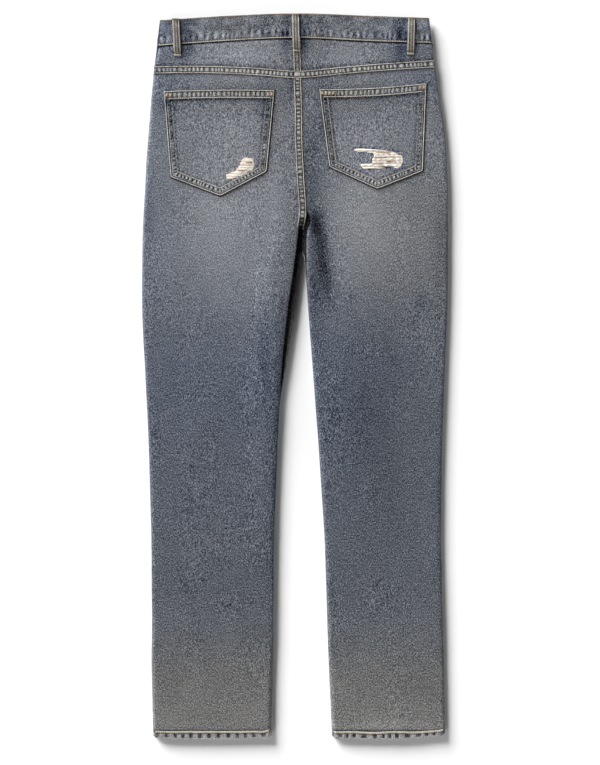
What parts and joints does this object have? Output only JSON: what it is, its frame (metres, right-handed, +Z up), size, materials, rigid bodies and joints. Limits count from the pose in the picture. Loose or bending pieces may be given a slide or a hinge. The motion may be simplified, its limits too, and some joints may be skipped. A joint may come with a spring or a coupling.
{
  "type": "ripped jeans",
  "caption": "Straight-leg blue denim jeans laid flat, back side up, with both back pockets worn through to white threads; free-standing, rests on its front.",
  "frame": {"origin": "middle of the bounding box, on the surface the jeans lie on", "axes": "+Y from the hems to the waistband, +Z up from the surface and out of the back of the jeans, +X towards the wearer's right"},
  "size_m": [0.4616, 1.0876, 0.0176],
  "materials": {
    "denim": "washed indigo twill, faded grey-blue, matt",
    "worn_denim": "the same twill worn lighter along seams, band and hem, matt",
    "bare_weft": "loose cream weft threads left where the indigo warp has worn away",
    "button_metal": "aged, dull"
  },
  "bodies": {
    "root": {"back_left": "denim", "back_right": "denim", "front_left": "denim", "front_right": "denim", "hip_facing_left": "denim", "hip_facing_right": "denim", "yoke_left": "worn_denim", "yoke_right": "worn_denim", "waistband_back": "worn_denim", "waistband_front_left": "worn_denim", "waistband_front_right": "worn_denim", "back_pocket_left": "denim", "back_pocket_right": "denim", "rip_weft_left": "bare_weft", "rip_weft_right": "bare_weft", "belt_loop_back_left": "denim", "belt_loop_back_centre": "denim", "belt_loop_back_right": "denim", "belt_loop_front_left": "denim", "belt_loop_front_right": "denim", "hem_left": "worn_denim", "hem_right": "worn_denim", "waist_button": "button_metal"}
  },
  "joints": []
}
